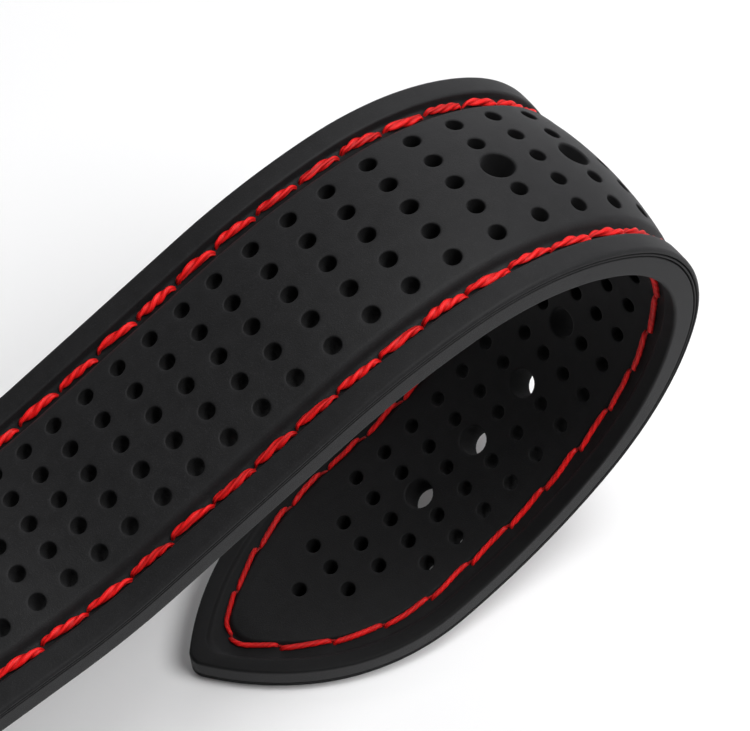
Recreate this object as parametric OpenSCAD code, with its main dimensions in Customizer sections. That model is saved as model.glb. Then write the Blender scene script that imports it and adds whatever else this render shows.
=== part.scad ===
// Two-piece silicone watch strap with a tang buckle and quick-release bars.
// The long half is curled over on itself, outer face out, and rests on its
// tip. The short half runs down from the first half's bar end to the buckle.
// Origin: on the table, under the flat run of the tip. X runs from the buckle
// towards the curl, Y across the strap, Z up.

/* [Strap band] */
// Width of both halves
strap_w = 20; // [19:0.5:21]
// Height of the perforated panel's middle over the mid surface
panel_top = 2.0; // [1.9:0.05:2.2]
// Depth of the panel's middle under the mid surface
panel_bottom = 1.25; // [1.2:0.05:1.4]
// Height of the edge flange over the mid surface
flange_top = 1.3; // [1.2:0.05:1.4]
// Depth of the edge flange under the mid surface
flange_bottom = 1.2; // [1.1:0.05:1.3]
// Width of the flange, from the strap's edge to the seam groove
flange_w = 1.9; // [1.8:0.1:2.1]
// Radius of the flange's outer corners
edge_r = 0.45; // [0.3:0.05:0.5]

/* [Perforation] */
// Distance between two rows of holes, along the strap
row_pitch = 3.0; // [2.95:0.01:3.05]
// Distance between two columns of holes
col_pitch = 2.5; // [2.3:0.05:2.6]
// Diameter of a vent hole
vent_d = 1.2; // [1:0.05:1.4]
// Diameter of a tongue hole
tongue_hole_d = 2.4; // [2.3:0.05:2.45]
// Number of tongue holes, one in every other row
tongue_holes = 8; // [6:1:9]

/* [Seam] */
// Diameter of the needle thread on the outer face
top_thread_d = 0.9; // [0.7:0.05:1]
// Diameter of the bobbin thread on the inner face
under_thread_d = 0.62; // [0.5:0.02:0.64]

/* [Tip] */
// Radius of the two arcs that close the tip
tip_side_r = 25; // [24:0.5:27]
// Radius of the nose
tip_nose_r = 1.3; // [1.1:0.1:2]
// Distance from the nose to the first hole, in rows
tip_rows = 3.45; // [3.3:0.05:3.6]

/* [Spring bars] */
// Diameter of the bar's tube
bar_d = 1.8; // [1.7:0.05:1.9]
// Diameter of a bar's end pin
pin_d = 0.8; // [0.7:0.05:0.9]
// How far an end pin stands out of its tube
pin_out = 1.0; // [0.9:0.05:1.1]
// Radius of the strap's barrel round a quick-release bar
lug_barrel_r = 2.1; // [2:0.05:2.3]

/* [Buckle] */
// Length of the frame, from the bar to the middle of the far bar
frame_len = 12; // [11.5:0.25:12.5]
// Height of the frame's section
frame_h = 2.0; // [1.9:0.05:2.1]
// Width of the frame's section
frame_t = 2.4; // [2.2:0.1:2.6]
// Width of the tongue
tongue_w = 2.0; // [1.8:0.1:2.1]

/* [Keepers] */
// Wall of a keeper
keeper_wall = 1.3; // [1.2:0.1:1.5]
// Length of a keeper along the strap
keeper_len = 7; // [6:0.5:7.5]

/* [Hidden] */
eps = 0.01;
$fn = 48;

// ---- clearances ----
run_gap = 0.05;      // round fits
seat_gap = 0.05;     // between seated pieces of one body
free_gap = 0.3;      // between pieces that pass each other
lap = 0.3;           // of neighbouring runs of a half
slim = 0.01;         // by which every other run is slimmer

// ---- band section ----
half_w = strap_w/2;
groove_w = 1.4;                          // width of the seam groove
groove_out = half_w - flange_w;          // outer wall of the groove
panel_half = groove_out - groove_w;      // edge of the panel
seam_in = 0.6;                           // from the flange to the line of the threads
seam_y = groove_out - seam_in;
groove_top = 0.1;                        // floor of the outer groove over the mid surface
groove_bottom = 0.45;                    // floor of the inner groove under it
panel_drop_top = 0.72;                   // crown of the panel, outer face
panel_drop_bottom = 0.3;                 // and inner face
soft = 0.22;                             // break on small edges
shoulder = 0.5;                          // bevel along the panel's edges
crown_in = 0.7;                          // from that bevel to the crown's last fold
hole_room = 0.6;                         // least wall between a hole and the panel's edge
side_cols = floor((panel_half - vent_d/2 - hole_room)/col_pitch + eps); // on each side of the middle

// ---- routes: a run is [bend radius, angle], or [0, length] for a straight one ----
// A positive radius curls towards the inner face.
lug_slope = 9;
tail_first = 16;                         // straight run by the bar
plain_end = 9;                           // from the bar to the last row of holes, at least
tail_flat = 7.35;                        // straight run at the tip, flat on the table
tail_route = [[0, tail_first], [-35.5, 13], [0, 15.6], [43, 15.4], [19.8, 41.1],
              [14, 62.7], [23, 39.9], [38.2, 42.9], [0, tail_flat]];
pitch_in = 3.0;                          // the rows are even on a line this far inside the mid surface

function run_len(r) = r[0] == 0 ? r[1] : abs(r[0])*r[1]*PI/180;
function pitch_len(r) = r[0] == 0 ? r[1] : (abs(r[0]) - sign(r[0])*pitch_in)*r[1]*PI/180;
function sum(v, i = 0) = i >= len(v) ? 0 : v[i] + sum(v, i + 1);
function route_len(p) = sum([for (r = p) run_len(r)]);
function rest(v) = [for (i = [1:1:len(v) - 1]) v[i]];
function rev(v) = [for (i = [len(v) - 1:-1:0]) v[i]];

// Pose [x, z, slope] after going s along the run r from the pose q
function step(q, r, s) = r[0] == 0 ? [q[0] + s*cos(q[2]), q[1] + s*sin(q[2]), q[2]] :
    let (k = sign(r[0]), b = abs(r[0]), t = q[2] - k*s/b*180/PI)
    [q[0] + k*b*(sin(q[2]) - sin(t)), q[1] - k*b*(cos(q[2]) - cos(t)), t];
function pose(p, q, s, i = 0) = let (l = run_len(p[i]))
    i == len(p) - 1 || s <= l ? step(q, p[i], s) : pose(p, step(q, p[i], l), s - l, i + 1);
// Distance on the mid surface of a point u along the pitch line
function mid_s(p, u, i = 0) = let (l = pitch_len(p[i]))
    i == len(p) - 1 || u <= l ? u*run_len(p[i])/l : run_len(p[i]) + mid_s(p, u - l, i + 1);
// The runs of a route before and after the distance s
function head(p, s) = len(p) == 0 || s <= eps ? [] : let (l = run_len(p[0]))
    l >= s ? [[p[0][0], p[0][1]*s/l]] : concat([p[0]], head(rest(p), s - l));
function past(p, s) = len(p) == 0 ? [] : s <= eps ? p : let (l = run_len(p[0]))
    l <= s ? past(rest(p), s - l) : concat([[p[0][0], p[0][1]*(1 - s/l)]], rest(p));

// ---- where the long half lies ----
tail_len = route_len(tail_route);
pitch_end = sum([for (r = tail_route) pitch_len(r)]);
rest_back = 6;                           // the origin's distance from the nose
tail_raw = pose(tail_route, [0, 0, lug_slope], tail_len - rest_back);
tail_q = [-tail_raw[0], panel_top_flat() - tail_raw[1], lug_slope];
function panel_top_flat() = panel_h(col_pitch/2, panel_top, panel_drop_top);
function panel_h(y, h, drop) = h - drop*pow(y/panel_half, 2);

function row_u(r) = pitch_end - (r + tip_rows)*row_pitch;
last_row = floor((pitch_end - plain_end)/row_pitch - tip_rows + eps);
function is_tongue_row(r) = r >= 4 && r % 2 == 0 && r < 4 + 2*tongue_holes;
function cols(n) = [for (c = [-min(n, side_cols):1:min(n, side_cols)]) c];
function row_cols(r) = cols(r == 0 ? 0 : r < 3 ? 1 : side_cols);

// ---- where the short half lies ----
lug_gap = 0.3;                           // between the two halves' barrels
lug_step = 2*lug_barrel_r + lug_gap;
buckle_barrel_r = 2.5;
down_slope = 24;                         // slope of the run down to the buckle
down_bend_r = 50;
lug_q = [tail_q[0] - lug_step*cos(lug_slope), tail_q[1] - lug_step*sin(lug_slope)];
lug_pose = [lug_q[0], lug_q[1], lug_slope];
lug_run = 17;
down_run = (lug_q[1] - buckle_barrel_r - lug_run*sin(lug_slope)
            - down_bend_r*(cos(lug_slope) - cos(down_slope)))/sin(down_slope);
short_route = [[0, down_run], [down_bend_r, down_slope - lug_slope], [0, lug_run]];
short_len = route_len(short_route);
short_raw = pose(short_route, [0, 0, down_slope], short_len);
buckle_q = [lug_q[0] - short_raw[0], lug_q[1] - short_raw[1], down_slope];
short_rows = 10;

// ---- bars ----
bar_r = bar_d/2;
bore_r = bar_r + run_gap;
tube_wall = 0.28;
tube_in_r = bar_r - tube_wall;
head_r = tube_in_r - run_gap;
pin_r = pin_d/2;
lip_t = 0.3;                             // rolled lip that keeps a plunger in
tube_half = half_w - 0.1;                // half the length of a quick-release tube
pin_travel = pin_out;
waist = 0.16;                            // relief of a pin's neck in its lip
lever_y = 5.4;
lever_room = 0.15;                       // beyond a lever's travel
lever_r = 0.25;
knob_r = 0.75;
knob_top = 1.75;                         // the knob's near face, from the bar's axis
knob_h = 0.9;
coil_r = 0.4;
wire_r = 0.1;

// ---- buckle ----
ear_in = half_w + 0.1;                   // inner face of the frame's ears
buckle_tube_half = half_w - 0.15;
frame_soft = 0.5;                        // radius of the frame section's corners
tilt_arm = [frame_len + frame_t/2 - frame_soft, frame_h/2 - frame_soft];
frame_tilt = asin((buckle_barrel_r - frame_soft)/norm(tilt_arm)) - atan2(tilt_arm[1], tilt_arm[0]);
slot_end = 5.5;                          // of the tongue's slot in the short half, from the bar
ear_r = 2.2;
tongue_slot = tongue_w + 1.2;            // slot in the barrel for the tongue's loop
loop_r = 1.8;
loop_w = tongue_w + 0.6;

black = [0.075, 0.075, 0.08];
red = [0.80, 0.06, 0.07];
steel = [0.72, 0.72, 0.74];

// Puts a child, drawn with X along the strap and Z out of its outer face, at a pose
module place(q) translate([q[0], 0, q[1]]) rotate([0, -q[2], 0]) children();
// A rod along Y from y0 to y1
module rod(r, y0, y1) translate([0, y1, 0]) rotate([90, 0, 0]) cylinder(r = r, h = y1 - y0);
// Draws a section, X over the mid surface and Y across, along a route. Each run
// laps into the next, and every other one is slimmer, so no faces meet.
module along(p, q, i = 0) {
    r = p[i];
    $slim = slim*((len(p) - 1 - i) % 2);
    a = step(q, r, -lap);
    if (r[0] == 0)
        place(a) rotate([0, -90, 0]) rotate([180, 0, 0]) linear_extrude(r[1] + 2*lap) children();
    else {
        k = sign(r[0]);
        b = abs(r[0]);
        turn = r[1] + 2*lap/b*180/PI;
        translate([a[0] + k*b*sin(a[2]), 0, a[1] - k*b*cos(a[2])])
            rotate([0, k > 0 ? turn - a[2] - 90 : 90 - a[2], 0]) rotate([90, 0, 0])
            rotate_extrude(angle = turn, $fn = 180) translate([b, 0]) mirror([k < 0 ? 1 : 0, 0]) children();
    }
    if (i < len(p) - 1) along(p, step(q, r, run_len(r)), i + 1) children();
}

// Half of one face of the band, from the middle to the edge: [height, y], slimmer by d
function face(h, drop, groove, flange, d) = [
    for (y = [0.5*col_pitch, 1.5*col_pitch, panel_half - shoulder - crown_in]) [panel_h(y, h, drop) - d, y],
    [panel_h(panel_half - shoulder, h, drop) - d, panel_half - shoulder - d],
    [panel_h(panel_half, h, drop) - min(shoulder, h - drop - groove - soft) - d, panel_half - d],
    [groove - d, panel_half - d], [groove - d, groove_out + d],
    [flange - soft - d, groove_out + d], [flange - d, groove_out + soft + d],
    for (a = [90, 60, 30, 0]) [flange - edge_r + edge_r*sin(a) - d, half_w - edge_r + edge_r*cos(a) - d]];
function top_face(d) = face(panel_top, panel_drop_top, groove_top, flange_top, d);
function under_face(d) = face(panel_bottom, panel_drop_bottom, groove_bottom, flange_bottom, d);
// The outline of a section from its upper and lower halves, both given as heights out of the mid surface
function both_sides(top, under) = concat(top, [for (p = rev(under)) [-p[0], p[1]]],
    [for (p = under) -p], rev([for (p = top) [p[0], -p[1]]]));
module band() polygon(both_sides(top_face($slim), under_face($slim)));
// The panel alone, wide enough to be cut to an outline
function crown_face(h, drop, d) = [for (y = [0.5, 1.5, 2.5, 3.5]) [panel_h(y*col_pitch, h, drop) - d, y*col_pitch]];
module panel() polygon(both_sides(crown_face(panel_top, panel_drop_top, $slim),
                                  crown_face(panel_bottom, panel_drop_bottom, $slim)));
// Plain end block that closes the grooves by a barrel
block_h = 1.72;
block_len = 6.5;                         // from the bar
module end_block() {
    side = [for (a = [90, 60, 30, 0]) [block_h - 0.5 + 0.5*sin(a), half_w - 0.55 + 0.5*cos(a)]];
    polygon(both_sides(side, side));
}

// ---- the tip's outline, moved in by d: points [distance from the nose, y] ----
side_c = tip_side_r - half_w;            // the arcs' centres lie this far past the middle
tip_t = sqrt(pow(tip_side_r, 2) - pow(side_c, 2));
tip_cover = 12;                          // straight part of the outline behind the arcs
function nose_r(d) = max(tip_nose_r - d, 0.5);
function nose_c(d) = tip_t - sqrt(pow(tip_side_r - d - nose_r(d), 2) - pow(side_c, 2));
nose_t = nose_c(0) - tip_nose_r;
function tip_half(d, n = 12, m = 5) = let (c = nose_c(d), b = atan2(side_c, c - tip_t), w = tip_side_r - d)
    concat([[tip_t + tip_cover, half_w - d]],
           [for (i = [0:n]) let (a = 90 + (b - 90)*i/n) [tip_t + w*cos(a), w*sin(a) - side_c]],
           [for (i = [1:m]) let (a = b + (180 - b)*i/m) [c + nose_r(d)*cos(a), nose_r(d)*sin(a)]]);
function tip_outline(d) = let (h = tip_half(d)) concat(h, [for (i = [len(h) - 2:-1:0]) [h[i][0], -h[i][1]]]);
// The outline seen from above, on the curled strap
prism = [-5, 25];                        // its lower and upper end
module tip_prism(d) translate([0, 0, prism[0]]) linear_extrude(prism[1] - prism[0])
    polygon([for (p = tip_outline(d)) [pose(tail_route, tail_q, tail_len - (p[0] - nose_t))[0], p[1]]]);
module layer(lo, hi) translate([lo + $slim, -half_w - 1]) square([hi - lo - 2*$slim, strap_w + 2]);
tip_cut = mid_s(tail_route, row_u(5));   // the tip piece starts at the fifth row
module tip() {
    p = past(tail_route, tip_cut);
    q = pose(tail_route, tail_q, tip_cut);
    intersection() {
        along(p, q) layer(-groove_bottom, groove_top);
        tip_prism(0);
    }
    difference() {
        union() {
            intersection() {
                along(p, q) layer(-flange_bottom + soft, flange_top - soft);
                tip_prism(0);
            }
            intersection() {
                along(p, q) layer(-flange_bottom, flange_top);
                tip_prism(soft);
            }
        }
        tip_prism(flange_w);
    }
    intersection() {
        along(p, q) panel();
        tip_prism(half_w - panel_half);
    }
}
// Straight cutters for the holes of one row
reach = 4;                               // of a cutter, from the mid surface
module row_holes(q, cols, d) place(q) for (c = cols) translate([0, c*col_pitch, -reach]) cylinder(d = d, h = 2*reach);

// The bore of a barrel, and the opening under it that a lever moves in
module barrel_cuts() {
    y = [lever_y - pin_travel - knob_r - lever_room, lever_y + knob_r + lever_room];
    rod(bore_r, -half_w - 1, half_w + 1);
    translate([-bore_r, y[0], -reach]) cube([2*bore_r, y[1] - y[0], reach]);
}
module tail_strap() color(black) difference() {
    union() {
        along(head(tail_route, tip_cut), tail_q) band();
        along([[0, block_len]], tail_q) end_block();
        place(tail_q) rod(lug_barrel_r, -half_w + 0.1, half_w - 0.1);
        tip();
    }
    place(tail_q) barrel_cuts();
    for (r = [0:last_row]) {
        q = pose(tail_route, tail_q, mid_s(tail_route, row_u(r)));
        row_holes(q, [for (c = row_cols(r)) if (c != 0 || !is_tongue_row(r)) c], vent_d);
        if (is_tongue_row(r)) row_holes(q, [0], tongue_hole_d);
    }
}

// ---- seams: a tube of six sides along points on a face of the band ----
function unit(v) = v/norm(v);
function on_face(p, q0, s, y, h) = let (q = pose(p, q0, s)) [q[0] - h*sin(q[2]), y, q[1] + h*cos(q[2])];
module tube(pts, r) {
    n = len(pts);
    dir = [for (i = [0:n - 1]) unit(pts[min(i + 1, n - 1)] - pts[max(i - 1, 0)])];
    up = [for (i = [0:n - 1]) let (d = dir[i], w = cross(d, [0, 1, 0]))
          norm(w) < 0.3 ? unit(cross(d, [0, 0, 1])) : unit(w)];
    polyhedron([for (i = [0:n - 1], k = [0:5]) let (d = dir[i], u = unit(cross(d, cross(up[i], d))), v = cross(d, u))
                pts[i] + r*(u*cos(60*k) + v*sin(60*k))],
               concat([[0, 1, 2], [0, 2, 3], [0, 3, 4], [0, 4, 5]],
                      [for (i = [0:n - 2], k = [0:5]) let (a = 6*i + k, b = 6*i + (k + 1) % 6) each
                       [[a, a + 6, b + 6], [a, b + 6, b]]],
                      [for (k = [1:4]) [6*n - 6, 6*n - 6 + k + 1, 6*n - 6 + k]]));
}
seam_start = 7.5;                        // from the bar to the seam's first stitch
seam_d = half_w - seam_y;                // distance of the seam from the edge
function stations(p, step_deg, i = 0, s = 0) = i == len(p) ? [s] : let (l = run_len(p[i]),
    n = p[i][0] == 0 ? 1 : ceil(p[i][1]/step_deg))
    concat([for (j = [0:n - 1]) s + l*j/n], stations(p, step_deg, i + 1, s + l));
// The near side, round the tip and back along the far side
function tail_seam(h) = let (s1 = tail_len - (tip_t - nose_t), last = tail_len + nose_t,
    side = [for (s = stations(tail_route, 6)) if (s > seam_start + 1 && s < s1 - 1) s],
    tip = [for (p = tip_half(seam_d, 8, 3)) if (p[0] < tip_t + 1) [last - p[0], p[1]]],
    half = concat([[seam_start, seam_y]], [for (s = side) [s, seam_y]], tip))
    [for (p = concat(half, [for (i = [len(half) - 2:-1:0]) [half[i][0], -half[i][1]]]))
     on_face(tail_route, tail_q, p[0], p[1], h)];
top_seam_h = groove_top + top_thread_d/2 + 0.03;
under_seam_h = -groove_bottom - under_thread_d/2 - 0.03;
module tail_top_thread() color(red) tube(tail_seam(top_seam_h), top_thread_d/2);
module tail_under_thread() color(red) tube(tail_seam(under_seam_h), under_thread_d/2);
module short_seam(y, h, r)
    tube([for (s = concat([seam_start], [for (s = stations(short_route, 5)) if (s > seam_start + 1
          && s < short_len - seam_start - 1) s], [short_len - seam_start]))
          on_face(short_route, buckle_q, s, y, h)], r);
module short_top_thread_near() color(red) short_seam(-seam_y, top_seam_h, top_thread_d/2);
module short_top_thread_far() color(red) short_seam(seam_y, top_seam_h, top_thread_d/2);
module short_under_thread_near() color(red) short_seam(-seam_y, under_seam_h, under_thread_d/2);
module short_under_thread_far() color(red) short_seam(seam_y, under_seam_h, under_thread_d/2);

// ---- short half ----
module buckle_strap() color(black) difference() {
    union() {
        along(short_route, buckle_q) band();
        along([[0, block_len]], buckle_q) end_block();
        along([[0, block_len]], pose(short_route, buckle_q, short_len - block_len)) end_block();
        place(buckle_q) rod(buckle_barrel_r, -half_w + 0.3, half_w - 0.3);
        place(lug_pose) rod(lug_barrel_r, -half_w + 0.1, half_w - 0.1);
    }
    place(lug_pose) barrel_cuts();
    place(buckle_q) {
        rod(bore_r, -half_w - 1, half_w + 1);
        translate([-reach, -tongue_slot/2, -reach]) cube([reach + slot_end, tongue_slot, 2*reach]);
    }
    for (i = [1:short_rows])
        row_holes(pose(short_route, buckle_q, short_len - 6 - i*row_pitch), cols(side_cols), vent_d);
}

// ---- quick-release bars, drawn on the Y axis ----
spring_y0 = 0.6;
plunger_y0 = 4.5;
tube_window = [lever_y - pin_travel - lever_r - lever_room, lever_y + lever_r + lever_room];
module qr_tube() difference() {
    union() {
        rod(bar_r, -tube_half, tube_half);
        rod(pin_r, -tube_half - pin_out, -tube_half + eps);
    }
    rod(tube_in_r, spring_y0 - 0.1, tube_half - lip_t);
    rod(pin_r + run_gap, tube_half - lip_t - eps, tube_half + 1);
    translate([-lever_r - 0.1, tube_window[0], -bar_r - 1])
        cube([2*lever_r + 0.2, tube_window[1] - tube_window[0], bar_r + 1]);
}
module qr_plunger() difference() {
    union() {
        rod(head_r, plunger_y0, tube_half - lip_t - 0.1);
        rod(pin_r - waist, tube_half - lip_t - 0.1 - eps, tube_half + eps);
        rod(pin_r, tube_half, tube_half + pin_out);
    }
    translate([0, lever_y, -2]) cylinder(r = lever_r + 0.02, h = 4);
}
module qr_lever() translate([0, lever_y, 0]) {
    translate([0, 0, -knob_top - eps]) cylinder(r = lever_r, h = knob_top + 0.3);
    translate([0, 0, -knob_top - knob_h]) cylinder(r = knob_r, h = knob_h);
}
// A coil on the Y axis, as one tube of six sides
module coil(y0, y1, turns) {
    n = turns*8;
    tube([for (i = [0:n]) [coil_r*cos(45*i), y0 + wire_r + (y1 - y0 - 2*wire_r)*i/n, coil_r*sin(45*i)]], wire_r);
}
module tail_bar_tube() color(steel) place(tail_q) qr_tube();
module tail_bar_plunger() color(steel) place(tail_q) qr_plunger();
module tail_bar_lever() color(steel) place(tail_q) qr_lever();
module tail_bar_spring() color(steel) place(tail_q) coil(spring_y0, plunger_y0 - 0.05, 7);
module lug_bar_tube() color(steel) place(lug_pose) qr_tube();
module lug_bar_plunger() color(steel) place(lug_pose) qr_plunger();
module lug_bar_lever() color(steel) place(lug_pose) qr_lever();
module lug_bar_spring() color(steel) place(lug_pose) coil(spring_y0, plunger_y0 - 0.05, 7);

// ---- keepers: a ring round the strap, with room for the tail on top ----
keeper_top = panel_top + panel_top + panel_bottom + 0.6;
module ring_face(y, lo, hi, r) {
    translate([lo + r, -y]) square([hi - lo - 2*r, 2*y]);
    translate([lo, -y + r]) square([hi - lo, 2*y - 2*r]);
    for (a = [lo + r, hi - r], b = [-y + r, y - r]) translate([a, b]) circle(r = r, $fn = 40);
}
module keeper(gap) rotate([0, -90, 0]) rotate([180, 0, 0]) translate([0, 0, -keeper_len/2])
    linear_extrude(keeper_len) difference() {
        ring_face(half_w + gap + keeper_wall, -panel_bottom - gap - keeper_wall, keeper_top + keeper_wall, 1.6);
        ring_face(half_w + gap, -panel_bottom - gap, keeper_top, 0.4);
    }
fixed_s = 12;                            // from the buckle's bar to the fixed keeper
float_s = 25;                            // and to the floating one
module fixed_keeper() color(black) place(pose(short_route, buckle_q, fixed_s)) keeper(seat_gap);
module floating_keeper() color(black) place(pose(short_route, buckle_q, float_s)) keeper(free_gap);

// ---- buckle: X away from the strap, Z up ----
module at_buckle() translate([buckle_q[0], 0, buckle_q[1]]) rotate([0, -frame_tilt, 0]) mirror([1, 0, 0]) children();
frame_y = ear_in + frame_t/2;            // middle of a side arm
corner_r = 3;
module frame_section(c = frame_soft) polygon([for (i = [0:3], a = [0, 30, 60, 90]) let (sx = i == 0 || i == 3 ? 1 : -1,
    sy = i < 2 ? 1 : -1, t = 90*i + a) [sx*(frame_t/2 - c) + c*cos(t), sy*(frame_h/2 - c) + c*sin(t)]]);
module buckle_frame() color(steel) at_buckle() difference() {
    union() {
        for (m = [0, 1]) mirror([0, m, 0]) {
            translate([0, frame_y, 0]) rotate([0, 90, 0]) rotate([0, 0, 90])
                linear_extrude(frame_len - corner_r) frame_section();
            translate([frame_len - corner_r, frame_y - corner_r, 0])
                rotate_extrude(angle = 90, $fn = 96) translate([corner_r, 0]) frame_section();
            rod(ear_r, ear_in, ear_in + frame_t);
        }
        translate([frame_len, frame_y - corner_r, 0]) rotate([90, 0, 0])
            linear_extrude(2*(frame_y - corner_r)) frame_section();
    }
    for (m = [0, 1]) mirror([0, m, 0]) rod(pin_r + run_gap, ear_in - 1, buckle_tube_half + pin_out + 0.2);
    translate([frame_len - 2, -tongue_w/2 - 0.2, frame_h/2 - 0.25]) cube([4, tongue_w + 0.4, 1]);
}
rest_z = frame_h/2 - 0.25 + 0.15;        // underside of the tongue over the far bar
module buckle_tongue() color(steel) at_buckle() difference() {
    union() {
        rod(loop_r, -loop_w/2, loop_w/2);
        translate([0, tongue_w/2, 0]) rotate([90, 0, 0]) linear_extrude(tongue_w)
            polygon([[0, 0.4], [frame_len - 2, rest_z], [frame_len + 1.4, rest_z], [frame_len + 1.9, rest_z + 0.35],
                     [frame_len + 1.7, rest_z + 0.8], [frame_len + 1, rest_z + 1.1], [3, loop_r], [0, loop_r]]);
    }
    rod(bore_r, -loop_w, loop_w);
}
plunger_len = 3;
module buckle_bar_tube() color(steel) at_buckle() difference() {
    rod(bar_r, -buckle_tube_half, buckle_tube_half);
    rod(tube_in_r, -buckle_tube_half + lip_t, buckle_tube_half - lip_t);
    rod(pin_r + run_gap, -buckle_tube_half - 1, buckle_tube_half + 1);
}
module plunger() {
    rod(head_r, buckle_tube_half - lip_t - 0.1 - plunger_len, buckle_tube_half - lip_t - 0.1);
    rod(pin_r, buckle_tube_half - lip_t - 0.1 - eps, buckle_tube_half + pin_out);
}
module buckle_plunger_near() color(steel) at_buckle() mirror([0, 1, 0]) plunger();
module buckle_plunger_far() color(steel) at_buckle() plunger();
module buckle_bar_spring() color(steel) at_buckle() {
    e = buckle_tube_half - lip_t - 0.15 - plunger_len;
    coil(-e, e, 12);
}

tail_strap();
tail_top_thread();
tail_under_thread();
tail_bar_tube();
tail_bar_plunger();
tail_bar_lever();
tail_bar_spring();
buckle_strap();
short_top_thread_near();
short_top_thread_far();
short_under_thread_near();
short_under_thread_far();
lug_bar_tube();
lug_bar_plunger();
lug_bar_lever();
lug_bar_spring();
fixed_keeper();
floating_keeper();
buckle_frame();
buckle_tongue();
buckle_bar_tube();
buckle_plunger_near();
buckle_plunger_far();
buckle_bar_spring();
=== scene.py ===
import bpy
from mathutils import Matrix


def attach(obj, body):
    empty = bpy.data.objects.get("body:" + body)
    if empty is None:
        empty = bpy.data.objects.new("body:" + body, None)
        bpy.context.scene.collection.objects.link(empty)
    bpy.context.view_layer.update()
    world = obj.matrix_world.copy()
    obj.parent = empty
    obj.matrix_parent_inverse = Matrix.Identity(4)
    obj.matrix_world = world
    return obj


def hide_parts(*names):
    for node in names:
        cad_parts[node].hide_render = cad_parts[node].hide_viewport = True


bl_info = {
    "name": "Silicone watch strap",
    "version": (1, 0, 0),
    "blender": (4, 5, 0),
    "location": "3D View > Sidebar > Strap",
    "description": "Builds the looks of a perforated, stitched silicone watch strap around its packed solids",
    "category": "Object",
}

import math

import bpy
import numpy as np
from bpy.props import FloatProperty, FloatVectorProperty, PointerProperty
from mathutils import Matrix

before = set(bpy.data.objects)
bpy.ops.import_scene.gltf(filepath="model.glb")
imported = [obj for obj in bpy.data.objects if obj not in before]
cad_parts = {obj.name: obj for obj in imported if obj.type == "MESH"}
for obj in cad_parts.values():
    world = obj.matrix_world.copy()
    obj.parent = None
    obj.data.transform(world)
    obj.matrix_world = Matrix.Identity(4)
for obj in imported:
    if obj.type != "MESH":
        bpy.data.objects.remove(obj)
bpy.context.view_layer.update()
MM = 0.001

# ---- sizes, as in the solids, in millimetres and degrees ----
# A run of a route is (bend radius, angle), or (0, length); a positive radius curls towards the inner face.
TAIL_RUNS = [(0, 16), (-35.5, 13), (0, 15.6), (43, 15.4), (19.8, 41.1), (14, 62.7), (23, 39.9), (38.2, 42.9),
             (0, 7.35)]
LUG_SLOPE, DOWN_SLOPE = 9.0, 24.0  # slope of the strap at the bars, and at the buckle
LUG_RUN, DOWN_R = 17.0, 50.0  # the short half's straight part at its bar, and the bend next to it
BAR_GAP = 0.3  # clearance between the barrels of the two halves
PITCH_IN = 3.0  # how far inside the mid surface the rows are evenly apart
REST_BACK = 6.0  # the origin's distance from the nose
ROW, COL, TIP_ROWS = 3.0, 2.5, 3.45  # pitch of rows and columns; rows from the nose to the first one
VENT_R, TONGUE_R, TONGUE_HOLES = 0.6, 1.2, 8
SIDE_R, NOSE_R, NOSE_GROW = 25.0, 1.3, 0.3  # the tip's side arcs, its nose, how much blunter the lines inside are
HALF_W, FLANGE_W, GROOVE_W = 10.0, 1.9, 1.4
PANEL_HALF = HALF_W - FLANGE_W - GROOVE_W
# Heights above and below the mid surface; a drop is the crown's, from the panel's middle to its edge.
PANEL_TOP, PANEL_BOTTOM, DROP_TOP, DROP_BOTTOM = 2.0, 1.25, 0.72, 0.3
FLANGE_TOP, FLANGE_BOTTOM, GROOVE_TOP, GROOVE_BOTTOM = 1.3, 1.2, 0.45, 0.82
SEAM_Y = HALF_W - FLANGE_W - 0.6  # distance of the seams from the strap's middle
BUCKLE_R, LUG_R = 2.5, 2.1  # barrels round the buckle's bar and round the quick-release bars


def run_lengths(runs, inset=0.0):
    """Length of each run on a line inset towards the inner face: an arc is (radius - inset) times its angle."""
    return np.array([n if r == 0 else (abs(r) - math.copysign(inset, r)) * math.radians(n) for r, n in runs])


def route(runs, start):
    """Starts, poses and curvatures of a route's runs: each turns evenly from where the one before it ends."""
    length = run_lengths(runs)
    bend = np.array([0.0 if r[0] == 0 else 1.0 / r[0] for r in runs])
    slope = math.radians(start[2]) - np.concatenate([[0], np.cumsum(bend * length)])
    x, z = [start[0]], [start[1]]
    for k, a, b, n in zip(bend, slope[:-1], slope[1:], length):
        x.append(x[-1] + (n * math.cos(a) if k == 0 else (math.sin(a) - math.sin(b)) / k))
        z.append(z[-1] + (n * math.sin(a) if k == 0 else -(math.cos(a) - math.cos(b)) / k))
    return {"s": np.concatenate([[0], np.cumsum(length)]), "x": np.array(x), "z": np.array(z), "a": slope,
            "k": np.concatenate([bend, [0.0]]), "end": float(length.sum())}


def along(way, s, y, h):
    """Points s along a route, y across it and h out of its mid surface."""
    s, y, h = np.broadcast_arrays(*(np.asarray(v, float) for v in (s, y, h)))
    i = np.clip(np.searchsorted(way["s"], s, side="right") - 1, 0, len(way["k"]) - 1)
    d, k, a0 = s - way["s"][i], way["k"][i], way["a"][i]
    k = np.where(s < 0, 0.0, k)
    safe = np.where(k == 0, 1.0, k)
    a = a0 - k * d
    x = way["x"][i] + np.where(k == 0, d * np.cos(a0), (np.sin(a0) - np.sin(a)) / safe)
    z = way["z"][i] + np.where(k == 0, d * np.sin(a0), -(np.cos(a0) - np.cos(a)) / safe)
    return np.stack([x - h * np.sin(a), y, z + h * np.cos(a)], -1)


def crown(y, top, drop):
    """Height of the crowned panel, less by a drop that grows with the square of y."""
    return top - drop * (np.asarray(y) / PANEL_HALF) ** 2


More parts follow.
